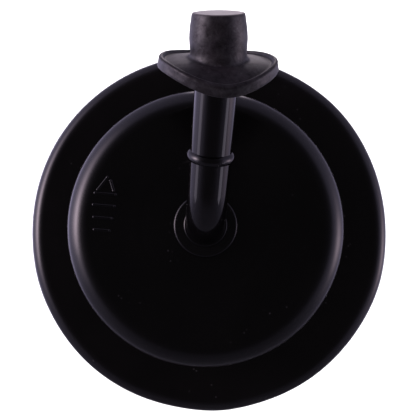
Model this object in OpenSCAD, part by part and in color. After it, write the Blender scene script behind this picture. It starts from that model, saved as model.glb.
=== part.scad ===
// Sink plunger: a soft rubber force cup under a stiff dome, with a swivelling bent
// pipe on top and a rubber stopper that closes the pipe's free end.
// Millimetres. +Z is up along the plunger's axis, the origin is on that axis in the
// plane that the sealing lip rests on, and the pipe's free end points along +Y.

/* [Force cup] */
// Outer radius of the soft sealing lip
lip_r = 75; // [70:0.5:80]
// Thickness of the sealing lip
lip_t = 7.2; // [7:0.1:7.4]
// Radius of the lip's upper outer edge
lip_edge_r = 6; // [4:0.5:6]
// Outer radius of the folding waist
waist_r = 50.5; // [49.5:0.1:50.9]
// Wall thickness of the waist
waist_t = 3.7; // [3.2:0.1:3.9]

/* [Dome] */
// Outer radius of the stiff dome
dome_r = 55; // [54.4:0.1:56]
// Height of the dome's flat top
dome_top = 36; // [35.5:0.1:37]
// Radius of the dome's rounded shoulder
shoulder_r = 9.5; // [8:0.5:10]
// Wall thickness of the dome
dome_t = 3; // [2.2:0.1:3.2]
// Height of the lower edge of the dome's skirt
skirt_z = 15.5; // [15:0.5:17]
// Radius of the soft step round the shallow dish on the top face
ring_r = 26; // [20:0.5:32]
// Number of clamp screws
screws = 8; // [6:1:10]

/* [Gland] */
// Outer radius of the gland bush's flange
gland_r = 12.35; // [11.8:0.05:13]
// Height of the gland bush's flange above the dome
gland_h = 2.5; // [2.2:0.1:2.6]
// Radial running clearance between pipe and bush
running_gap = 0.05; // [0.03:0.01:0.08]

/* [Bent pipe] */
// Outer radius of the pipe
pipe_r = 7.5; // [7.4:0.05:7.6]
// Inner radius of the pipe
pipe_bore_r = 5.2; // [4.6:0.1:5.4]
// Radius of the elbow, to the pipe's centre line
elbow_r = 20; // [17:0.5:22]
// Angle that the elbow turns through
elbow_deg = 64; // [58:0.5:70]
// Length of the straight run after the elbow
straight_len = 57.3; // [56:0.1:58]
// Distance of the rolled bead along the straight run
bead_at = 13.5; // [8:0.5:20]
// Bead section radius
bead_r = 2; // [1.4:0.1:2.4]

/* [Stopper] */
// Distance of the stopper's brim along the straight run
stopper_at = 49.5; // [48.1:0.1:50.1]
// Length of the plug above the brim
plug_len = 14.7; // [14.7:0.1:17.7]
// Plug radius at its closed end
plug_tip_r = 9.2; // [9:0.1:10]
// Plug radius at its fullest
plug_full_r = 10.05; // [9.8:0.05:11]
// Plug radius where it meets the brim
plug_neck_r = 9.7; // [9.5:0.1:10.5]
// Lean of the plug's outer form to one side, in degrees
plug_lean = 4.5; // [0:0.5:4.5]
// Lean of the plug's outer form towards the dome, in degrees
plug_pitch = 3; // [0:0.5:3]
// Outer radius of the brim's raised rim
brim_r = 20.5; // [20.00:0.1:21.20]
// How far the brim's foot stands out beyond its rim
brim_flare = 0.66; // [0:0.05:0.86]
// How far the brim's upper side droops back along the pipe at its edge
brim_droop = 6.73; // [3.73:0.1:7.03]
// How far the brim's lower side droops back at its edge
brim_back = 4.45; // [0:0.1:4.75]
// How far the brim's two sides droop back at their edge
brim_sag = 1.69; // [0:0.1:2.19]
// Turn of the drooping side about the pipe, in degrees
brim_turn = 11.4; // [0:0.5:20]
// Lean of the brim to one side, in degrees
brim_lean = 1.49; // [0:0.1:3]
// Lean of the brim along the drooping side, in degrees
brim_pitch = -2.52; // [-8:0.1:3]

/* [Hidden] */
$fn = 96;

black_rubber = [0.045, 0.045, 0.048];
black_plastic = [0.02, 0.02, 0.023];
grey_rubber = [0.15, 0.145, 0.15];
steel = [0.62, 0.63, 0.65];

// heights of the clamp between cup and dome
seat_z = 22;                 // underside of the dome's seat and screw bosses
flange_lo = 19.2;            // cup's clamped flange
flange_hi = 21.8;
ring_lo = 16;                // clamp ring
ring_hi = 19;
screw_pcd_r = 42;
flange_in_r = 38.2;
roof_z = dome_top - dome_t;  // inner face of the dome's top

// gland and swivel
stem_r = 9.95;
bush_bore_r = pipe_r + running_gap;
bush_lo = 22;
bush_top = dome_top + gland_h;
boss_lo = roof_z - 3;
pipe_lo = 18.5;
collar_lo = bush_top + 0.25;
elbow_z = collar_lo + 1.85;
o_ring_z = [26.2, 32.4];

// centre line of the straight run
run_y = elbow_r * (1 - cos(elbow_deg));
run_z = elbow_z + elbow_r * sin(elbow_deg);

function arc(cx, cy, r, a0, a1, n) =
    [for (i = [0:n]) [cx + r * cos(a0 + (a1 - a0) * i / n), cy + r * sin(a0 + (a1 - a0) * i / n)]];

// places its children with +Z along the pipe's straight run, s from the elbow's end
module on_run(s) {
    translate([0, run_y, run_z]) rotate([-elbow_deg, 0, 0]) translate([0, 0, s]) children();
}

module around(n, r, first = 0) {
    for (i = [0:n - 1]) rotate([0, 0, first + 360 * i / n]) translate([r, 0, 0]) children();
}

// ---------------------------------------------------------------- force cup
module force_cup() {
    e = lip_edge_r;
    e2 = 0.9;    // lower outer edge
    wi = waist_r - waist_t;
    color(black_rubber) difference() {
        union() {
            rotate_extrude() polygon(concat(
                [[51, 0], [61, 0], [61.5, 0.9], [63.5, 0.9], [64, 0]],
                arc(lip_r - e2, e2, e2, -90, 0, 6),
                arc(lip_r - e, lip_t - e, e, 0, 90, 24),
                arc(waist_r + 2.2, lip_t + 2.2, 2.2, 270, 180, 6),
                [[waist_r - 1.9, 13]],
                [[waist_r, 16.4], [waist_r, flange_hi], [flange_in_r, flange_hi],
                 [flange_in_r, flange_lo], [wi - 0.1, flange_lo], [wi - 0.1, 16],
                 [wi - 1.9, 13], [wi, 9], [wi, 4]]));
            // plain moulded tally on the lip, beside the waist
            for (k = [0:2]) rotate([0, 0, 186 + 4.2 * k]) translate([61.5, -0.45, lip_t - 0.3])
                cube([4.6, 0.9, 0.5]);
        }
        around(screws, screw_pcd_r) translate([0, 0, flange_lo - 1]) cylinder(r = 1.95, h = 5);
    }
}

// ---------------------------------------------------------------- dome
module dome_stroke(from, to) {
    // a half-round moulded line with a small knob at each end
    d = to - from;
    z = dome_top - 0.22;
    translate([from[0], from[1], z]) rotate([0, 0, atan2(d[1], d[0])]) rotate([0, 90, 0])
        cylinder(r = 0.6, h = norm(d));
    for (p = [from, to]) translate([p[0], p[1], z]) sphere(r = 0.68);
}

module dome_mark() {
    // a plain moulded arrowhead and three bars, no lettering
    translate([-39.8, 0]) {
        dome_stroke([-4, 9.2], [4, 9.2]);
        dome_stroke([-3.1, 10.6], [0.2, 15.6]);
        dome_stroke([3.1, 10.6], [1.6, 14.4]);
        dome_stroke([-4.2, 4.6], [4, 4.6]);
        dome_stroke([-3.6, -0.2], [3.4, -0.2]);
        dome_stroke([-3, -5], [2.8, -5]);
    }
}

module dome_shell() {
    r = dome_r;
    s = shoulder_r;
    ri = dome_r - dome_t;
    si = max(shoulder_r - dome_t, 1);
    color(black_plastic) difference() {
        union() {
            rotate_extrude() polygon(concat(
                [[ri, skirt_z + 0.5], [ri + 0.5, skirt_z], [r - 0.6, skirt_z], [r, skirt_z + 0.6]],
                arc(r - s, dome_top - s, s, 0, 90, 30),
                [[0, dome_top], [0, boss_lo], [14, boss_lo], [14.6, roof_z]],
                arc(ri - si, roof_z - si, si, 90, 0, 10)));
            // seat for the cup's flange
            difference() {
                translate([0, 0, seat_z]) cylinder(r = 47.6, h = roof_z + 0.3 - seat_z);
                translate([0, 0, seat_z - 1]) cylinder(r = 45.4, h = roof_z + 3 - seat_z);
            }
            // screw bosses
            around(screws, screw_pcd_r) translate([0, 0, seat_z])
                cylinder(r = 4.2, h = roof_z + 0.3 - seat_z);
            // ribs between the centre and the seat
            for (i = [0:screws - 1]) rotate([0, 0, 360 * (i + 0.5) / screws])
                translate([14.1, -1, roof_z - 5]) cube([32.3, 2, 5.3]);
            dome_mark();
        }
        translate([0, 0, boss_lo - 1]) cylinder(r = stem_r + 0.1, h = 12);
        // very shallow dish inside a soft round step on the top face
        rotate_extrude() polygon([[ring_r + 0.9, dome_top + 0.1], [ring_r + 0.9, dome_top], [ring_r + 0.5, dome_top - 0.02],
                                  [ring_r + 0.1, dome_top - 0.08], [ring_r - 0.3, dome_top - 0.15],
                                  [ring_r - 0.7, dome_top - 0.19], [ring_r - 1.2, dome_top - 0.2],
                                  [gland_r + 1.4, dome_top - 0.02], [gland_r + 1.4, dome_top + 0.1]]);
        around(screws, screw_pcd_r) translate([0, 0, seat_z - 1]) cylinder(r = 1.45, h = 9);
    }
}

module clamp_ring() {
    color(black_plastic) difference() {
        rotate_extrude() polygon([[37.8, ring_lo + 0.4], [38.2, ring_lo], [45.5, ring_lo],
                                  [46, ring_lo + 0.5], [46, ring_hi], [37.8, ring_hi]]);
        around(screws, screw_pcd_r) translate([0, 0, ring_lo - 1]) cylinder(r = 1.6, h = 5);
    }
}

module clamp_screws() {
    color(steel) around(screws, screw_pcd_r) difference() {
        union() {
            rotate_extrude() polygon([[0, ring_lo - 2], [1.9, ring_lo - 2], [2.5, ring_lo - 1.6],
                                      [2.8, ring_lo - 0.9], [2.8, ring_lo], [1.4, ring_lo],
                                      [1.4, seat_z + 6.4], [0.7, seat_z + 7.4], [0, seat_z + 7.4]],
                                     $fn = 48);
        }
        for (a = [0, 90]) rotate([0, 0, a + 20]) translate([-1.7, -0.3, ring_lo - 2.1]) cube([3.4, 0.6, 1.3]);
    }
}

// ---------------------------------------------------------------- gland
module gland_bush() {
    threads = 6;
    color(black_plastic) rotate_extrude() polygon(concat(
        [[bush_bore_r, bush_lo + 0.3], [bush_bore_r + 0.3, bush_lo]],
        [for (k = [0:threads - 1], p = [0, 1]) [stem_r - (p == 0 ? 0.5 : 0), bush_lo + 0.2 + k * 1.2 + p * 0.6]],
        [[stem_r, bush_lo + 8], [stem_r, dome_top], [gland_r, dome_top], [gland_r, bush_top - 1]],
        arc(gland_r - 0.95, bush_top - 0.95, 0.95, 0, 90, 10),
        [[bush_bore_r + 0.4, bush_top], [bush_bore_r, bush_top - 0.4]]));
}

module gland_seal() {
    color(black_rubber) difference() {
        translate([0, 0, boss_lo - 1.4]) cylinder(r = 13.6, h = 1.4);
        translate([0, 0, boss_lo - 3]) cylinder(r = stem_r + 0.05, h = 5);
    }
}

module gland_washer() {
    color(steel) difference() {
        translate([0, 0, boss_lo - 2.4]) cylinder(r = 13.2, h = 1);
        translate([0, 0, boss_lo - 4]) cylinder(r = stem_r + 0.1, h = 5);
    }
}

module gland_nut() {
    z0 = boss_lo - 7.2;
    color(black_plastic) difference() {
        intersection() {
            translate([0, 0, z0]) cylinder(r = 15, h = 4.8, $fn = 6);
            rotate_extrude() polygon([[0, z0 - 0.1], [13.2, z0 - 0.1], [15.2, z0 + 1.1], [15.2, z0 + 5], [0, z0 + 5]]);
        }
        translate([0, 0, z0 - 1]) cylinder(r = stem_r + 0.05, h = 8);
    }
}

// ---------------------------------------------------------------- bent pipe
// the elbow as a solid bar of the given radius
module elbow_bar(r) {
    translate([0, elbow_r, elbow_z]) rotate([0, -90, 0]) rotate([0, 0, -90])
        rotate_extrude(angle = elbow_deg) translate([elbow_r, 0]) circle(r = r);
}

module bent_pipe() {
    lap = 0.25;    // the straight runs reach this far into the elbow, which is a hair thinner
    hair = 0.02;
    color(black_plastic) difference() {
        union() {
            translate([0, 0, pipe_lo]) cylinder(r = pipe_r, h = elbow_z + lap - pipe_lo);
            elbow_bar(pipe_r - hair);
            on_run(-lap) rotate_extrude() polygon(concat([[0, 0], [pipe_r, 0]],
                arc(pipe_r - 0.75, bead_at + lap, bead_r, -68, 68, 24),
                [[pipe_r, straight_len + lap - 1], [pipe_r - 0.6, straight_len + lap], [0, straight_len + lap]]));
        }
        translate([0, 0, pipe_lo - 1]) cylinder(r = pipe_bore_r, h = elbow_z - pipe_lo + 1 + lap);
        elbow_bar(pipe_bore_r - hair);
        on_run(-lap) cylinder(r = pipe_bore_r, h = straight_len + 1);
        // grooves for the O-rings and the retaining clip
        for (z = o_ring_z) rotate_extrude() polygon([[6.2, z - 0.8], [9, z - 0.8], [9, z + 0.8], [6.2, z + 0.8]]);
        rotate_extrude() polygon([[6.5, 19.7], [9, 19.7], [9, 20.9], [6.5, 20.9]]);
    }
}

module swivel_collar() {
    color(black_plastic) rotate_extrude() polygon(concat(
        [[pipe_r, collar_lo], [pipe_r + 0.85, collar_lo]],
        arc(pipe_r + 0.35, elbow_z - 0.6, 0.5, 0, 90, 4),
        [[pipe_r, elbow_z - 0.1]]));
}

module pipe_o_rings() {
    color(black_rubber) for (z = o_ring_z) translate([0, 0, z])
        rotate_extrude() translate([pipe_r - 0.64, 0]) circle(r = 0.64, $fn = 32);
}

module thrust_washer() {
    color(steel) difference() {
        translate([0, 0, 20.95]) cylinder(r = 9.8, h = 0.75);
        translate([0, 0, 20]) cylinder(r = pipe_r + 0.1, h = 3);
    }
}

module retaining_clip() {
    color(steel) difference() {
        union() {
            translate([0, 0, 19.85]) cylinder(r = 8.8, h = 0.9);
            for (a = [-24, 24]) rotate([0, 0, 90 + a]) translate([9.3, 0, 19.85]) cylinder(r = 1.5, h = 0.9, $fn = 48);
        }
        translate([0, 0, 19]) cylinder(r = 6.6, h = 3);
        rotate([0, 0, 90]) translate([0, 0, 19]) linear_extrude(3) polygon([[0, 0], [14, -3.6], [14, 3.6]]);
        for (a = [-24, 24]) rotate([0, 0, 90 + a]) translate([9.5, 0, 19]) cylinder(r = 0.6, h = 3, $fn = 32);
    }
}

// ---------------------------------------------------------------- stopper
// The outer form is one closed skin: a section from the hub's foot out round the brim and
// up the plug, swept round the pipe. Each entry is [radius, height, droops, leans].
hub_lo = -5;
skin_steps = 60;
brim_foot_r = brim_r + brim_flare;
skin_section = concat(
    [[plug_neck_r - 0.4, hub_lo, 0, -1], [plug_neck_r, hub_lo + 0.4, 0, -1], [plug_neck_r + 0.05, -3.2, 0.25, -0.75],
     [plug_neck_r + 0.4, -2.81, 1, 0]],
    [for (r = [11.2, 13.5, 16, 18.4]) [r, -2.46, 1, 0]],
    [[brim_foot_r - 0.7, -2.46, 1, 0], [brim_foot_r - 0.15, -2.16, 1, 0], [brim_foot_r, -1.66, 1, 0],
     [brim_r + 0.02, 0.55, 1, 0], [brim_r - 0.12, 0.95, 1, 0], [brim_r - 0.45, 1.2, 1, 0],
     [brim_r - 1.25, 1.2, 1, 0], [brim_r - 1.55, 0.95, 1, 0], [brim_r - 1.8, 0.35, 1, 0], [brim_r - 2.1, -0.1, 1, 0]],
    [for (r = [17, 15, 13, 11.2]) [r, -0.2, 1, 0]],
    [[10.4, 0, 1, 0], [plug_neck_r + 0.05, 0.55, 0.75, 0.5], [plug_neck_r + 0.02, 1.5, 0.3, 1],
     [plug_neck_r + 0.14, 2.6, 0, 1], [plug_full_r - 0.08, 4.4, 0, 1], [plug_full_r, 6.2, 0, 1],
     [plug_full_r - 0.1, 8.4, 0, 1], [plug_tip_r + 0.42, plug_len - 3.4, 0, 1]],
    [for (p = arc(plug_tip_r - 0.8, plug_len - 0.8, 0.8, 5, 90, 5)) [p[0], p[1], 0, 1]]);
// how far the brim's middle surface lies back from a flat disc, and its slope there
function droop_turned(u, v) = (v < 0
    ? brim_droop * pow(-v / droop_r, 2.99) * (1 -0.11 * u / droop_r)
    : brim_back * pow(v / droop_r, 2)) + brim_sag * pow(u / droop_r, 2);
droop_r = 20.7;
function droop(x, y) = droop_turned(x * cos(brim_turn) + y * sin(brim_turn), y * cos(brim_turn) - x * sin(brim_turn));
function slope(x, y) = [(droop(x + 0.01, y) - droop(x - 0.01, y)) / 0.02, (droop(x, y + 0.01) - droop(x, y - 0.01)) / 0.02];
// turns a point about Y and then about X, towards -X and +Y
function lean(p, l, q) =
    let (x = p[0] * cos(l) - p[2] * sin(l), z = p[2] * cos(l) + p[0] * sin(l))
    [x, p[1] * cos(q) + z * sin(q), z * cos(q) - p[1] * sin(q)];
// the brim bends like a sheet: a point off its middle surface is moved
// most of the way along the surface's own normal
function skin_point(p, a) =
    let (x = p[0] * cos(a), y = p[0] * sin(a), g = 0.6 * p[2] * slope(x, y), n = sqrt(1 + g * g),
         own = [x + p[1] * g[0] / n, y + p[1] * g[1] / n, p[1] / n - p[2] * droop(x, y)],
         l = p[3] < 0 ? brim_lean * (1 + p[3]) : brim_lean + (plug_lean - brim_lean) * p[3],
         q = p[3] < 0 ? brim_pitch * (1 + p[3]) : brim_pitch + (plug_pitch - brim_pitch) * p[3])
    lean(own, l, q);

module stopper_skin() {
    m = len(skin_section);
    n = skin_steps;
    polyhedron(
        points = [for (i = [0:n - 1], p = skin_section) skin_point(p, 360 * i / n)],
        faces = concat(
            [for (i = [0:n - 1], j = [0:m - 2])
                let (i2 = (i + 1) % n, a = i * m + j, b = i * m + j + 1, c = i2 * m + j + 1, d = i2 * m + j)
                each [[a, b, c], [a, c, d]]],
            [[for (i = [0:n - 1]) i * m], [for (i = [n - 1:-1:0]) i * m + m - 1]]));
}

module stopper() {
    color(grey_rubber) on_run(stopper_at) difference() {
        stopper_skin();
        translate([0, 0, hub_lo - 2]) cylinder(r = bush_bore_r, h = 2 - hub_lo + straight_len - stopper_at + 0.4);
        translate([0, 0, hub_lo - 0.1]) cylinder(r1 = bush_bore_r + 0.9, r2 = bush_bore_r, h = 0.9);
    }
}

force_cup();
dome_shell();
clamp_ring();
clamp_screws();
gland_bush();
gland_seal();
gland_washer();
gland_nut();
bent_pipe();
swivel_collar();
pipe_o_rings();
thrust_washer();
retaining_clip();
stopper();
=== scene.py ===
import math

import bmesh
import bpy
import numpy as np
from mathutils import Matrix, Vector


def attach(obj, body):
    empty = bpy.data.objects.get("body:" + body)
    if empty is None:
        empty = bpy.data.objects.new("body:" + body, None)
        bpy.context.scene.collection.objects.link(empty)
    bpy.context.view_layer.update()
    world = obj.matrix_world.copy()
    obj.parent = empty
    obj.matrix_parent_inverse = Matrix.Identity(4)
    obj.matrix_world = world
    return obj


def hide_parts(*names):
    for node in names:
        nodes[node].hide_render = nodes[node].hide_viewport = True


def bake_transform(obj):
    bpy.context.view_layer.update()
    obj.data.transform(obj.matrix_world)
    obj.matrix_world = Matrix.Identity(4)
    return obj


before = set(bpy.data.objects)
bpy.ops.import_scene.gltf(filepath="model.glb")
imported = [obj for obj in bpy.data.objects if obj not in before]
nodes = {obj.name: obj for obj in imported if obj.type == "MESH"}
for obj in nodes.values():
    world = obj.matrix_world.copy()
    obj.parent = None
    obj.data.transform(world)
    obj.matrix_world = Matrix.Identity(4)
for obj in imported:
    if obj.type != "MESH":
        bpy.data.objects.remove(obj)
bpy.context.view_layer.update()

MM = 0.001
scene = bpy.context.scene

# ------------------------------------------------------------------ camera
AIM = Vector((0.00014, 0.00992, 0.0))
AZ, EL, DIST = math.radians(4.684), math.radians(85.2), 0.38537
back = Vector((math.sin(AZ) * math.cos(EL), -math.cos(AZ) * math.cos(EL), math.sin(EL)))
cam_data = bpy.data.cameras.new("camera")
cam_data.sensor_width = 36.0
cam_data.lens = 77.885
cam_data.clip_start, cam_data.clip_end = 0.01, 50.0
cam = bpy.data.objects.new("camera", cam_data)
scene.collection.objects.link(cam)
cam.rotation_mode = "QUATERNION"
cam.location = AIM + back * DIST
cam.rotation_quaternion = (-back).to_track_quat("-Z", "Y")
scene.camera = cam


# ------------------------------------------------------------------ materials
def new_material(name):
    m = bpy.data.materials.new(name)
    m.use_nodes = True
    nt = m.node_tree
    nt.nodes.clear()
    out = nt.nodes.new("ShaderNodeOutputMaterial")
    bsdf = nt.nodes.new("ShaderNodeBsdfPrincipled")
    nt.links.new(bsdf.outputs[0], out.inputs[0])
    return m, nt, bsdf


def noise(nt, scale, detail=4.0, rough=0.55, distortion=0.0, vec=None):
    n = nt.nodes.new("ShaderNodeTexNoise")
    n.inputs["Scale"].default_value = scale
    n.inputs["Detail"].default_value = detail
    n.inputs["Roughness"].default_value = rough
    n.inputs["Distortion"].default_value = distortion
    if vec is None:
        vec = coords(nt)
    nt.links.new(vec, n.inputs["Vector"])
    return n


def coords(nt):
    for n in nt.nodes:
        if n.type == "TEX_COORD":
            return n.outputs["Object"]
    return nt.nodes.new("ShaderNodeTexCoord").outputs["Object"]


def ramp(nt, src, stops):
    r = nt.nodes.new("ShaderNodeValToRGB")
    e = r.color_ramp.elements
    while len(e) > 1:
        e.remove(e[-1])
    e[0].position, e[0].color = stops[0][0], (*stops[0][1], 1)
    for p, c in stops[1:]:
        k = e.new(p)
        k.color = (*c, 1)
    nt.links.new(src, r.inputs[0])
    return r


def grey(v):
    return (v, v, v)


def maths(nt, op, a, b=None, c=None, clamp=False):
    n = nt.nodes.new("ShaderNodeMath")
    n.operation = op
    n.use_clamp = clamp
    for i, v in enumerate((a, b, c)):
        if v is None:
            continue
        if isinstance(v, (int, float)):
            n.inputs[i].default_value = v
        else:
            nt.links.new(v, n.inputs[i])
    return n.outputs[0]


def mix(nt, fac, a, b, mode="MIX"):
    n = nt.nodes.new("ShaderNodeMix")
    n.data_type = "RGBA"
    n.blend_type = mode
    for sock, v in ((n.inputs[0], fac), (n.inputs[6], a), (n.inputs[7], b)):
        if isinstance(v, (int, float)):
            sock.default_value = v
        elif isinstance(v, tuple):
            sock.default_value = (*v, 1)
        else:
            nt.links.new(v, sock)
    return n.outputs[2]


def bump(nt, height, strength, distance, normal=None):
    b = nt.nodes.new("ShaderNodeBump")
    b.inputs["Strength"].default_value = strength
    b.inputs["Distance"].default_value = distance
    nt.links.new(height, b.inputs["Height"])
    if normal is not None:
        nt.links.new(normal, b.inputs["Normal"])
    return b.outputs[0]


def specks(nt, scale, lo, hi):
    v = nt.nodes.new("ShaderNodeTexVoronoi")
    v.inputs["Scale"].default_value = scale
    nt.links.new(coords(nt), v.inputs["Vector"])
    return ramp(nt, v.outputs["Distance"], [(lo, grey(1)), (hi, grey(0))]).outputs[0]


def moulded_black(name, base, rough, rough_var, grain, grain_h, dust=0.35, dust_col=(0.10, 0.092, 0.10), spec=0.5, bloom=0.0):
    """Moulded black plastic or rubber: uneven black, patchy gloss, fine grain, a little dust."""
    m, nt, b = new_material(name)
    broad = noise(nt, 38, 3, 0.5)
    fine = noise(nt, 420, 5, 0.6)
    base_var = ramp(nt, broad.outputs[0], [(0.3, tuple(0.8 * c for c in base)), (0.7, tuple(1.25 * c for c in base))])
    sp = specks(nt, 330, 0.0, 0.16)
    gate = ramp(nt, noise(nt, 55, 2, 0.5).outputs[0], [(0.56, grey(0)), (0.7, grey(1))])
    dusty = maths(nt, "MULTIPLY", maths(nt, "MULTIPLY", sp, gate.outputs[0]), dust)
    col = mix(nt, dusty, base_var.outputs[0], dust_col)
    nt.links.new(col, b.inputs["Base Color"])
    r = maths(nt, "MULTIPLY_ADD", fine.outputs[0], rough_var, rough - rough_var / 2)
    r = maths(nt, "MULTIPLY_ADD", broad.outputs[0], rough_var, maths(nt, "SUBTRACT", r, rough_var / 2))
    nt.links.new(r, b.inputs["Roughness"])
    g = noise(nt, grain, 3, 0.6)
    n1 = bump(nt, broad.outputs[0], 0.25, 0.0002)
    n2 = bump(nt, g.outputs[0], 0.5, grain_h, n1)
    nt.links.new(n2, b.inputs["Normal"])
    b.inputs["Specular IOR Level"].default_value = spec
    b.inputs["Sheen Weight"].default_value = bloom
    b.inputs["Sheen Roughness"].default_value = 0.22
    b.inputs["Sheen Tint"].default_value = (0.92, 0.84, 1.0, 1)
    return m


def zinc(name):
    m, nt, b = new_material(name)
    n = noise(nt, 300, 4, 0.6)
    c = ramp(nt, n.outputs[0], [(0.3, (0.50, 0.51, 0.53)), (0.7, (0.66, 0.66, 0.67))])
    nt.links.new(c.outputs[0], b.inputs["Base Color"])
    b.inputs["Metallic"].default_value = 1.0
    nt.links.new(maths(nt, "MULTIPLY_ADD", n.outputs[0], 0.25, 0.18), b.inputs["Roughness"])
    w = nt.nodes.new("ShaderNodeTexWave")
    w.wave_type = "RINGS"
    w.rings_direction = "Z"
    w.inputs["Scale"].default_value = 900
    nt.links.new(coords(nt), w.inputs["Vector"])
    nt.links.new(bump(nt, w.outputs[0], 0.15, 0.00003), b.inputs["Normal"])
    return m


def dusty_rubber(name):
    """Matt black rubber, greyed by mould dust and rubbed darker in patches, with a painted highlight on the plug's end
    face.
    """
    m, nt, b = new_material(name)
    broad = noise(nt, 60, 4, 0.6, 0.4)
    mid = noise(nt, 260, 5, 0.65)
    fine = noise(nt, 1500, 3, 0.6)
    patch = noise(nt, 330, 5, 0.75, 0.5)
    c1 = ramp(nt, broad.outputs[0], [(0.3, (0.0045, 0.0033, 0.0042)), (0.55, (0.0075, 0.0056, 0.0070)), (0.75, (0.015, 0.0115, 0.014))])
    c2 = mix(nt, ramp(nt, mid.outputs[0], [(0.45, grey(0)), (0.72, grey(0.5))]).outputs[0], c1.outputs[0], (0.034, 0.027, 0.034))
    sp = specks(nt, 420, 0.0, 0.2)
    c3 = mix(nt, maths(nt, "MULTIPLY", sp, 0.16), c2, (0.20, 0.17, 0.20))
    # painted highlight: the plug's end face is painted paler in patches, standing in for the light it catches from
    # behind
    along = nt.nodes.new("ShaderNodeVectorMath")
    along.operation = "DOT_PRODUCT"
    nt.links.new(coords(nt), along.inputs[0])
    along.inputs[1].default_value = END_DIR
    near_end = maths(nt, "MULTIPLY", maths(nt, "SUBTRACT", along.outputs["Value"], END_AT - 0.0005), 2500, clamp=True)
    # mask of the painted highlight: the end face only, broken into patches
    painted_end_highlight = maths(nt, "MULTIPLY", near_end, maths(nt, "MULTIPLY_ADD", patch.outputs[0], 1.0, 0.15, clamp=True))
    c4 = mix(nt, painted_end_highlight, c3, (0.10, 0.08, 0.088))
    nt.links.new(c4, b.inputs["Base Color"])
    r = maths(nt, "MULTIPLY_ADD", mid.outputs[0], 0.18, 0.28)
    nt.links.new(maths(nt, "MULTIPLY_ADD", patch.outputs[0], 0.22, maths(nt, "SUBTRACT", r, 0.04)), b.inputs["Roughness"])
    gloss = ramp(nt, patch.outputs[0], [(0.36, grey(0.22)), (0.5, grey(0.48)), (0.64, grey(0.78))])
    own = coords(nt).node  # the normal in the stopper's own frame, so the mask turns with it
    facing = nt.nodes.new("ShaderNodeVectorMath")
    facing.operation = "DOT_PRODUCT"
    nt.links.new(own.outputs["Normal"], facing.inputs[0])
    facing.inputs[1].default_value = END_DIR
    flat = maths(nt, "MULTIPLY_ADD", facing.outputs["Value"], 3.0, -1.6, clamp=True)
    flat = maths(nt, "MULTIPLY", flat, maths(nt, "SUBTRACT", 1.0, near_end))
    calm = maths(nt, "MULTIPLY_ADD", flat, -0.62, 1.0)
    b.inputs["Specular IOR Level"].default_value = 0.42
    nt.links.new(maths(nt, "MULTIPLY", gloss.outputs[0], calm), b.inputs["Specular IOR Level"])
    b.inputs["Sheen Weight"].default_value = 0.07
    b.inputs["Sheen Roughness"].default_value = 0.4
    b.inputs["Sheen Tint"].default_value = (0.9, 0.84, 1.0, 1)
    n1 = bump(nt, broad.outputs[0], 0.35, 0.0004)
    n2 = bump(nt, mid.outputs[0], 0.3, 0.00008, n1)
    n3 = bump(nt, fine.outputs[0], 0.5, 0.00003, n2)
    nt.links.new(n3, b.inputs["Normal"])
    return m


dome_black = moulded_black("dome_black", (0.0017, 0.0015, 0.0016), 0.18, 0.04, 1400, 0.000012, bloom=0.05)
cup_black = moulded_black("cup_black", (0.0026, 0.0021, 0.0023), 0.20, 0.05, 1100, 0.00002, dust=0.4, bloom=0.04)
pipe_black = moulded_black("pipe_black", (0.0020, 0.0017, 0.0020), 0.07, 0.02, 1800, 0.000004, dust=0.25)
gland_black = moulded_black("gland_black", (0.0020, 0.0018, 0.0020), 0.27, 0.06, 1600, 0.00002)
# the plug's end face: the direction it faces, and how far along that direction it lies
END_DIR = (-0.0785, 0.9177, 0.3895)
END_AT = 0.09710
stopper_grey = dusty_rubber("stopper_rubber")
zinc_plate = zinc("zinc_plate")


def dress(obj, mat):
    obj.data.materials.clear()
    obj.data.materials.append(mat)
    for p in obj.data.polygons:
        p.material_index = 0


def smooth(obj, degrees=28):
    obj.data.shade_smooth()
    obj.data.set_sharp_from_angle(angle=math.radians(degrees))


def link(name, me):
    o = bpy.data.objects.new(name, me)
    scene.collection.objects.link(o)
    return o


for n, mat in {"dome_shell": dome_black, "clamp_ring": dome_black, "gland_bush": gland_black,
               "gland_nut": gland_black, "bent_pipe": pipe_black, "swivel_collar": pipe_black,
               "gland_seal": cup_black, "pipe_o_rings": cup_black, "clamp_screws": zinc_plate,
               "gland_washer": zinc_plate, "thrust_washer": zinc_plate, "retaining_clip": zinc_plate}.items():
    dress(nodes[n], mat)


# ------------------------------------------------------------------ mesh helpers
def arc(cx, cz, r, a0, a1, n):
    return [(cx + r * math.cos(math.radians(a0 + (a1 - a0) * i / n)),
             cz + r * math.sin(math.radians(a0 + (a1 - a0) * i / n))) for i in range(n + 1)]


def refine(profile, step, closed=True):
    """Adds points along a profile so that no edge is longer than step."""
    out = []
    n = len(profile)
    for i in range(n if closed else n - 1):
        (x0, z0), (x1, z1) = profile[i], profile[(i + 1) % n]
        k = max(1, math.ceil(math.hypot(x1 - x0, z1 - z0) / step))
        out += [(x0 + (x1 - x0) * j / k, z0 + (z1 - z0) * j / k) for j in range(k)]
    if not closed:
        out.append(profile[-1])
    return out


def revolve(profile, steps, name):
    """A closed profile (mm) turned round Z into a closed ring mesh (metres)."""
    m = len(profile)
    r = np.array([p[0] for p in profile])
    z = np.array([p[1] for p in profile])
    a = np.arange(steps) * 2 * math.pi / steps
    co = np.empty((steps, m, 3))
    co[:, :, 0] = np.cos(a)[:, None] * r
    co[:, :, 1] = np.sin(a)[:, None] * r
    co[:, :, 2] = z
    faces = []
    for i in range(steps):
        i2 = (i + 1) % steps
        for j in range(m):
            j2 = (j + 1) % m
            faces.append((i * m + j, i2 * m + j, i2 * m + j2, i * m + j2))
    me = bpy.data.meshes.new(name)
    me.from_pydata((co.reshape(-1, 3) * MM).tolist(), [], faces)
    me.validate()
    return me
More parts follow.
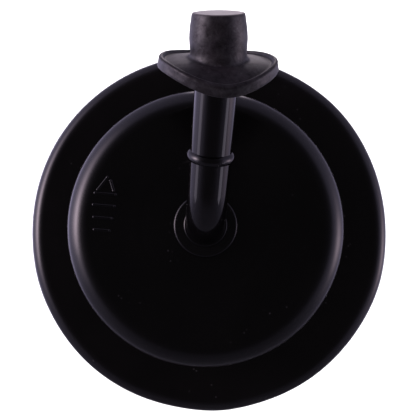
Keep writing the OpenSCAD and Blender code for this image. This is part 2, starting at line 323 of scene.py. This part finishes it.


# ------------------------------------------------------------------ force cup
# Soft rubber skin: the lip leans a little and its edge is slightly wavy, the waist is drawn with an inward fold.
LIP_R, LIP_T, EDGE_R = 75.0, 7.2, 6.0
cup_profile = (
    [(51, 0), (61, 0), (61.5, 0.9), (63.5, 0.9), (64, 0)]
    + arc(LIP_R - 0.9, 0.9, 0.9, -90, 0, 6)
    + arc(LIP_R - EDGE_R, LIP_T - EDGE_R, EDGE_R, 0, 90, 28)
    + arc(50.5 + 2.2, LIP_T + 2.2, 2.2, 270, 180, 10)
    + arc(50.5 + 1.2, 13, 3.1, 180 + 28, 180 - 28, 8)
    + [(50.5, 16.4), (50.5, 21.8), (38.2, 21.8), (38.2, 19.2), (46.7, 19.2), (46.7, 16), (45.0, 13.4),
       (44.9, 12.6), (46.8, 9), (46.8, 4)]
)
cup_me = revolve(refine(cup_profile, 1.1), 288, "force_cup_skin")
co = np.empty(len(cup_me.vertices) * 3)
cup_me.vertices.foreach_get("co", co)
co = co.reshape(-1, 3)
rad = np.hypot(co[:, 0], co[:, 1]) / MM
ang = np.arctan2(co[:, 1], co[:, 0])
height = co[:, 2] / MM
# the lip leans towards +X and +Y, more towards its edge
out = np.clip((rad - 53) / 22, 0, 1)
outs = out * out * (3 - 2 * out)
ripple = (0.42 + 0.22 * np.cos(2 * ang - 3.0) + 0.16 * np.cos(4 * ang + 2.9) + 0.10 * np.cos(5 * ang - 1.9))
for at, swell, width in ((-14, 0.75, 15), (-82, 0.6, 10), (48, 0.4, 15), (202, 0.28, 11)):
    off = np.degrees(np.angle(np.exp(1j * (ang - math.radians(at)))))
    ripple = ripple + swell * np.exp(-(off / width) ** 2)
wave = ripple * outs
co[:, 0] += (1.25 * outs + wave * np.cos(ang)) * MM
co[:, 1] += (0.60 * outs + wave * np.sin(ang)) * MM
# the annulus sags and lifts by a few tenths, never below the sealing plane
sag = (0.14 * np.cos(2 * ang + 1.1) + 0.10 * np.cos(7 * ang)) * outs * np.clip(height / LIP_T, 0, 1)
co[:, 2] += np.where(height < 8.5, sag, 0) * MM
cup_me.vertices.foreach_set("co", co.ravel())
cup = link("force_cup_skin", cup_me)

# plain moulded tally marks on the lip, beside the waist
bm = bmesh.new()
for k in range(3):
    a = math.radians(186 + 4.2 * k)
    bmesh.ops.create_cube(bm, size=1.0, matrix=Matrix.Rotation(a, 4, "Z") @ Matrix.Translation(
        Vector((63.8, 0, LIP_T - 0.35)) * MM) @ Matrix.Diagonal((4.6 * MM, 0.9 * MM, 1.1 * MM, 1)))
bmesh.ops.bevel(bm, geom=list(bm.edges), offset=0.00016, segments=2, affect="EDGES")
tally_me = bpy.data.meshes.new("lip_tally")
bm.to_mesh(tally_me)
bm.free()
tally = link("lip_tally", tally_me)

# holes for the clamp screws through the clamped flange
bm = bmesh.new()
for k in range(8):
    a = 2 * math.pi * k / 8
    bmesh.ops.create_cone(bm, cap_ends=True, segments=28, radius1=1.95 * MM, radius2=1.95 * MM, depth=6 * MM,
                          matrix=Matrix.Translation(Vector((42 * math.cos(a), 42 * math.sin(a), 20.5)) * MM))
drill_me = bpy.data.meshes.new("drill")
bm.to_mesh(drill_me)
bm.free()
drill = link("drill", drill_me)
for o, op in ((drill, "DIFFERENCE"), (tally, "UNION")):
    md = cup.modifiers.new("cut", "BOOLEAN")
    md.operation = op
    md.solver = "EXACT"
    md.object = o
bpy.context.view_layer.update()
done = bpy.data.meshes.new_from_object(cup.evaluated_get(bpy.context.evaluated_depsgraph_get()))
cup.modifiers.clear()
cup.data = done
for o in (drill, tally):
    bpy.data.objects.remove(o)
smooth(cup, 35)
dress(cup, cup_black)
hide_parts("force_cup")
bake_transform(cup)

# ------------------------------------------------------------------ stopper
ELBOW_DEG, ELBOW_R, ELBOW_Z = 64.0, 20.0, 40.6
STOPPER_AT, STRAIGHT = 49.5, 57.3
b64 = math.radians(ELBOW_DEG)
RUN0 = Vector((0, ELBOW_R * (1 - math.cos(b64)), ELBOW_Z + ELBOW_R * math.sin(b64)))
on_run = Matrix.Translation(RUN0) @ Matrix.Rotation(-b64, 4, "X") @ Matrix.Translation(Vector((0, 0, STOPPER_AT)))
NECK, FULL, TIP, PLUG = 9.7, 10.05, 9.2, 14.7
BRIM, FOOT, DROOP_R = 20.5, 21.16, 20.7
DROOP, BACK, SAG, TURN_DEG = 6.73, 4.45, 1.69, 11.4
B_LEAN, B_PITCH, P_LEAN, P_PITCH = 1.49, -2.52, 4.5, 3.0
HUB, UNDER, RIM = -5.0, -2.46, 1.2
BORE, BORE_END = 7.55, STRAIGHT - STOPPER_AT + 0.4
# the stopper's outer section: radius, height, how far it follows the brim's bend, how far the plug's lean
skin = (
    [(BORE + 0.9, HUB, 0, -1), (NECK - 0.5, HUB, 0, -1), (NECK - 0.2, HUB + 0.08, 0, -1), (NECK, HUB + 0.4, 0, -1),
     (NECK + 0.02, -4.0, 0.05, -0.95), (NECK + 0.05, -3.2, 0.25, -0.75), (NECK + 0.2, -2.4, 0.7, -0.3),
     (NECK + 0.5, UNDER - 0.3, 1, 0)]
    + [(r, UNDER, 1, 0) for r in (11.5, 13.0, 14.5, 16.0, 17.5, 19.0)]
    + [(FOOT - 0.8, UNDER, 1, 0), (FOOT - 0.35, UNDER + 0.1, 1, 0), (FOOT - 0.1, UNDER + 0.34, 1, 0), (FOOT, UNDER + 0.75, 1, 0),
       (FOOT * 0.6 + BRIM * 0.4, UNDER + 1.4, 1, 0), (BRIM + 0.03, RIM - 0.8, 1, 0), (BRIM - 0.02, RIM - 0.42, 1, 0),
       (BRIM - 0.14, RIM - 0.16, 1, 0), (BRIM - 0.38, RIM, 1, 0), (BRIM - 0.8, RIM + 0.03, 1, 0), (BRIM - 1.2, RIM, 1, 0),
       (BRIM - 1.45, RIM - 0.16, 1, 0), (BRIM - 1.6, RIM - 0.45, 1, 0), (BRIM - 1.72, RIM - 0.85, 1, 0),
       (BRIM - 1.85, 0.1, 1, 0), (BRIM - 2.15, -0.13, 1, 0), (BRIM - 2.7, -0.2, 1, 0)]
    + [(r, -0.2, 1, 0) for r in (17.0, 15.5, 14.0, 12.6, 11.6)]
    + [(10.9, -0.17, 1, 0), (10.45, -0.02, 1, 0), (10.1, 0.24, 0.9, 0.2), (NECK + 0.12, 0.6, 0.75, 0.5), (NECK + 0.03, 1.2, 0.4, 0.9),
       (NECK + 0.05, 1.9, 0.1, 1), (NECK + 0.14, 2.6, 0, 1), (FULL - 0.1, 4.2, 0, 1), (FULL - 0.01, 5.6, 0, 1), (FULL, 6.4, 0, 1),
       (FULL - 0.12, 8.4, 0, 1), (FULL - 0.3, 10.2, 0, 1), (TIP + 0.32, PLUG - 3.0, 0, 1), (TIP + 0.1, PLUG - 1.4, 0, 1),
       (TIP, PLUG - 0.8, 0, 1), (TIP - 0.1, PLUG - 0.4, 0, 1), (TIP - 0.35, PLUG - 0.1, 0, 1), (TIP - 0.8, PLUG, 0, 1),
       (7.0, PLUG, 0, 1), (4.5, PLUG, 0, 1), (2.0, PLUG, 0, 1)]
)


def droop(x, y):
    c, s = math.cos(math.radians(TURN_DEG)), math.sin(math.radians(TURN_DEG))
    u, v = (x * c + y * s) / DROOP_R, (y * c - x * s) / DROOP_R
    return (DROOP * (-v) ** 2.99 * (1 - 0.11 * u) if v < 0 else BACK * v * v) + SAG * u * u


def lean(p, l, q):
    l, q = math.radians(l), math.radians(q)
    x = p[0] * math.cos(l) - p[2] * math.sin(l)
    z = p[2] * math.cos(l) + p[0] * math.sin(l)
    return (x, p[1] * math.cos(q) + z * math.sin(q), z * math.cos(q) - p[1] * math.sin(q))


STEPS = 120
verts, faces = [], []
ms = len(skin)
for i in range(STEPS):
    a = 2 * math.pi * i / STEPS
    for (r, w, d, l) in skin:
        x, y = r * math.cos(a), r * math.sin(a)
        if d >= 1 and r > 12:  # hand-moulded rubber: the brim's faces and edge are never quite even
            w += 0.07 * math.sin(3 * a + 0.7) * (r / BRIM) + 0.05 * math.sin(7 * a + 2.0) * (r / BRIM)
        gx = 0.6 * d * (droop(x + 0.01, y) - droop(x - 0.01, y)) / 0.02
        gy = 0.6 * d * (droop(x, y + 0.01) - droop(x, y - 0.01)) / 0.02
        n = math.sqrt(1 + gx * gx + gy * gy)
        own = (x + w * gx / n, y + w * gy / n, w / n - d * droop(x, y))
        if l < 0:
            turn = (B_LEAN * (1 + l), B_PITCH * (1 + l))
        else:
            turn = (B_LEAN + (P_LEAN - B_LEAN) * l, B_PITCH + (P_PITCH - B_PITCH) * l)
        verts.append(lean(own, *turn))
for i in range(STEPS):
    i2 = (i + 1) % STEPS
    for j in range(ms - 1):
        faces.append((i * ms + j, i2 * ms + j, i2 * ms + j + 1, i * ms + j + 1))
verts.append(lean((0, 0, PLUG), P_LEAN, P_PITCH))
tip = len(verts) - 1
faces += [(i * ms + ms - 1, ((i + 1) % STEPS) * ms + ms - 1, tip) for i in range(STEPS)]
# the blind bore, from its bevelled mouth to its flat end
bore = [(BORE, HUB + 0.8), (BORE, -2.0), (BORE, 1.5), (BORE, 5.0), (BORE, BORE_END - 0.3), (BORE - 0.3, BORE_END), (5.0, BORE_END), (2.5, BORE_END)]
b0 = len(verts)
mb = len(bore)
for i in range(STEPS):
    a = 2 * math.pi * i / STEPS
    for (r, w) in bore:
        verts.append((r * math.cos(a), r * math.sin(a), w))
verts.append((0, 0, BORE_END))
for i in range(STEPS):
    i2 = (i + 1) % STEPS
    faces.append((i * ms, b0 + i * mb, b0 + i2 * mb, i2 * ms))
    for j in range(mb - 1):
        faces.append((b0 + i * mb + j, b0 + i * mb + j + 1, b0 + i2 * mb + j + 1, b0 + i2 * mb + j))
    faces.append((b0 + i * mb + mb - 1, len(verts) - 1, b0 + i2 * mb + mb - 1))
st_me = bpy.data.meshes.new("stopper_skin")
st_me.from_pydata([tuple(on_run @ Vector(v) * MM) for v in verts], [], faces)
st_me.validate()
stop = link("stopper_skin", st_me)
bm = bmesh.new()
bm.from_mesh(st_me)
bmesh.ops.recalc_face_normals(bm, faces=bm.faces)
bm.to_mesh(st_me)
bm.free()
smooth(stop, 40)
dress(stop, stopper_grey)
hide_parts("stopper")
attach(stop, "stopper")

# ------------------------------------------------------------------ floor and light
fm, nt, fb = new_material("pale_floor")
nf = noise(nt, 6, 2, 0.5)
nt.links.new(ramp(nt, nf.outputs[0], [(0.3, (0.86, 0.86, 0.865)), (0.7, (0.90, 0.90, 0.90))]).outputs[0], fb.inputs["Base Color"])
fb.inputs["Roughness"].default_value = 0.9
fb.inputs["Specular IOR Level"].default_value = 0.1
me = bpy.data.meshes.new("floor")
bm = bmesh.new()
bmesh.ops.create_circle(bm, cap_ends=True, segments=96, radius=1.5)
bm.to_mesh(me)
bm.free()
floor = link("floor", me)
floor.location.z = -0.0002
dress(floor, fm)
floor.visible_glossy = False


def panel(name, loc, target, size, power, colour=(1, 1, 1), glossy=True):
    d = bpy.data.lights.new(name, "AREA")
    d.shape = "RECTANGLE"
    d.size, d.size_y = size
    d.energy = power
    d.color = colour
    o = bpy.data.objects.new(name, d)
    scene.collection.objects.link(o)
    o.location = loc
    o.rotation_mode = "QUATERNION"
    o.rotation_quaternion = (Vector(target) - Vector(loc)).to_track_quat("-Z", "Y")
    o.visible_camera = False
    o.visible_glossy = glossy
    return o


floor_light = panel("floor_light", (0, 0, 1.6), (0, 0, 0), (3.6, 3.6), 150, (1, 1, 1), glossy=False)
only_floor = bpy.data.collections.new("lit_floor")
only_floor.objects.link(floor)
floor_light.light_linking.receiver_collection = only_floor
only_pipe = bpy.data.collections.new("lit_pipe")
only_pipe.objects.link(nodes["bent_pipe"])
for side, watts in ((-1, 0.17), (1, 0.20)):
    strip = panel("pipe_strip", (side * 0.74, 0.05 - 0.36, 0.07 + 0.10), (0, 0.05, 0.07), (0.30, 0.20), watts, (1.0, 0.92, 1.12))
    strip.light_linking.receiver_collection = only_pipe
panel("soft_top", (0, -0.2, 1.6), (0, 0, 0), (2.0, 2.0), 8, (1, 0.98, 1), glossy=False)

world = bpy.data.worlds.new("studio")
scene.world = world
world.use_nodes = True
wn = world.node_tree
wn.nodes.clear()
w_out = wn.nodes.new("ShaderNodeOutputWorld")
w_bg = wn.nodes.new("ShaderNodeBackground")
w_pale = wn.nodes.new("ShaderNodeBackground")
w_pale.inputs[0].default_value = (1.0, 1.0, 1.0, 1)
w_mix = wn.nodes.new("ShaderNodeMixShader")
w_path = wn.nodes.new("ShaderNodeLightPath")
wn.links.new(w_path.outputs["Is Camera Ray"], w_mix.inputs[0])
wn.links.new(w_bg.outputs[0], w_mix.inputs[1])
wn.links.new(w_pale.outputs[0], w_mix.inputs[2])
wn.links.new(w_mix.outputs[0], w_out.inputs[0])

# A tent of soft panels round the object: a bright one on the left, a weaker one on the right,
# a faint one behind, little in front and almost nothing overhead. Each is a lobe, the product
# of a profile round the horizon (degrees from +Y, positive towards +X) and one in height.
tc = wn.nodes.new("ShaderNodeTexCoord")
sep = wn.nodes.new("ShaderNodeSeparateXYZ")
wn.links.new(tc.outputs["Generated"], sep.inputs[0])
X, Y, Z = sep.outputs
TURN = maths(wn, "MULTIPLY_ADD", maths(wn, "ARCTAN2", X, Y), 0.5 / math.pi, 0.5)
RISE = maths(wn, "MULTIPLY_ADD", maths(wn, "ARCSINE", Z), 1 / math.pi, 0.5)


def profile(src, stops, span):
    return ramp(wn, src, [(0.5 + a / span, grey(v)) for a, v in sorted(stops)]).outputs[0]


def lobe(strength, colour, round_, up):
    v = maths(wn, "MULTIPLY", maths(wn, "MULTIPLY", profile(TURN, round_, 360), profile(RISE, up, 180)), strength)
    n = wn.nodes.new("ShaderNodeVectorMath")
    n.operation = "SCALE"
    n.inputs[0].default_value = colour
    wn.links.new(v, n.inputs["Scale"])
    return n.outputs[0]


def add_all(vs):
    t = vs[0]
    for v in vs[1:]:
        n = wn.nodes.new("ShaderNodeVectorMath")
        n.operation = "ADD"
        wn.links.new(t, n.inputs[0])
        wn.links.new(v, n.inputs[1])
        t = n.outputs[0]
    return t


tent = lobe(1.0, (1.11, 1.0, 1.50),
            [(-180, 0.055), (-165, 0.06), (-150, 0.09), (-135, 0.14), (-120, 0.26), (-105, 0.62), (-90, 0.85), (-75, 0.78),
             (-60, 0.64), (-45, 0.40), (-30, 0.30), (-15, 0.24), (0, 0.20), (15, 0.20), (30, 0.20), (45, 0.26), (60, 0.34),
             (75, 0.46), (90, 0.48), (105, 0.31), (120, 0.15), (135, 0.08), (150, 0.06), (180, 0.055)],
            [(-80, 0.4), (-70, 0.8), (-60, 1.1), (-50, 1.25), (-42, 1.05), (-34, 0.9), (-22, 0.85), (-9, 1.0), (5, 1.02), (19, 1.0),
             (28, 0.78), (36, 0.34), (44, 0.12), (55, 0.04), (75, 0.0)])
left = lobe(6.4, (1.24, 1.0, 1.13),
            [(-140, 0), (-120, 0.01), (-105, 0.13), (-96, 0.72), (-90, 1.0), (-82, 1.0), (-75, 0.64), (-60, 0.20), (-45, 0.03), (-38, 0)],
            [(-22, 0), (-9, 0.07), (1, 0.27), (7, 0.52), (13, 0.86), (19, 1.0), (25, 0.75), (31, 0.30), (41, 0.04), (52, 0.01), (62, 0)])
right = lobe(2.2, (1.27, 1.0, 1.14),
             [(55, 0), (66, 0.06), (75, 0.22), (84, 0.8), (89, 1.0), (94, 0.8), (105, 0.12), (118, 0)],
             [(-40, 0), (-28, 0.1), (-18, 0.45), (-8, 0.97), (-3, 1.0), (2, 0.90), (8, 0.48), (14, 0.20), (20, 0.08), (28, 0.02), (36, 0)])
low_back = lobe(2.6, (1.15, 1.0, 1.06),
                [(-13, 0), (-8, 0.6), (0, 1.0), (8, 0.6), (13, 0)],
                [(-70, 0), (-56, 0.8), (-45, 1.0), (-34, 0.6), (-24, 0)])
zenith = wn.nodes.new("ShaderNodeCombineXYZ")
for i, v in enumerate((0.036, 0.033, 0.037)):
    zenith.inputs[i].default_value = v
wn.links.new(add_all([tent, left, right, low_back, zenith.outputs[0]]), w_bg.inputs[0])
w_bg.inputs[1].default_value = 1.0

scene.view_settings.view_transform = "Standard"
scene.view_settings.look = "None"
